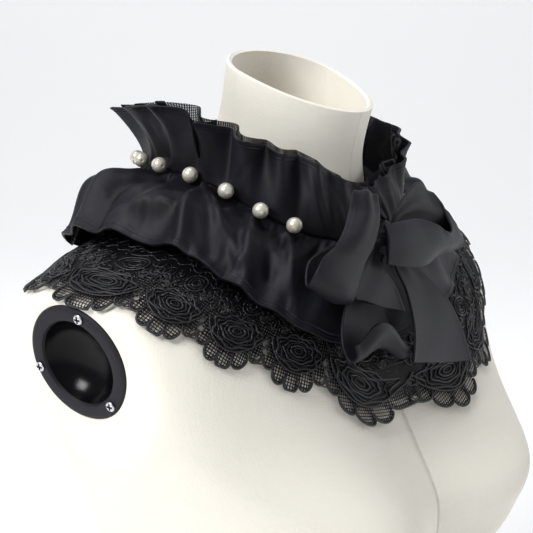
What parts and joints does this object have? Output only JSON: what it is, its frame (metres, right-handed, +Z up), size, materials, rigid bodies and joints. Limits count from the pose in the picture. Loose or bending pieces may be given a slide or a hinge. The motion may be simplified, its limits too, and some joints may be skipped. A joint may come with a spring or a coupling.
{
  "type": "false collar on a dress form",
  "caption": "Gathered black satin capelet collar over a scalloped lace capelet, with a standing ruffle, pearls and a soft bow, on a linen dress form.",
  "frame": {"origin": "middle of the flat base that the dress form stands on", "axes": "+Z up, -Y the front of the form, +X the wearer's left"},
  "size_m": [0.3828, 0.2759, 0.521],
  "materials": {
    "linen": "cream linen cover",
    "satin": "charcoal-black satin",
    "lace": "black guipure lace and binding",
    "tulle": "black embroidered tulle",
    "pearl": "ivory pearl coating",
    "plate": "black plastic",
    "steel": "screw heads"
  },
  "bodies": {
    "root": {"arm_plate_left": "plate", "arm_plate_right": "plate", "arm_screw_left_1": "steel", "arm_screw_left_2": "steel", "arm_screw_left_3": "steel", "arm_screw_right_1": "steel", "arm_screw_right_2": "steel", "arm_screw_right_3": "steel", "band_button": "plate", "bow_knot": "satin", "bow_loop_left": "satin", "bow_loop_right": "satin", "bow_tail_long": "satin", "bow_tail_rolled": "satin", "bow_tail_short": "satin", "capelet": "satin", "form_body": "linen", "lace_left": "lace", "lace_right": "lace", "neck_band": "lace", "pearl_left_1": "pearl", "pearl_left_2": "pearl", "pearl_left_3": "pearl", "pearl_left_4": "pearl", "pearl_left_5": "pearl", "pearl_left_6": "pearl", "pearl_left_7": "pearl", "pearl_left_8": "pearl", "pearl_left_9": "pearl", "pearl_right_1": "pearl", "pearl_right_2": "pearl", "pearl_right_3": "pearl", "pearl_right_4": "pearl", "pearl_right_5": "pearl", "pearl_right_6": "pearl", "pearl_right_7": "pearl", "pearl_right_8": "pearl", "pearl_right_9": "pearl", "ruffle_inner": "tulle", "ruffle_outer": "satin"}
  },
  "joints": []
}
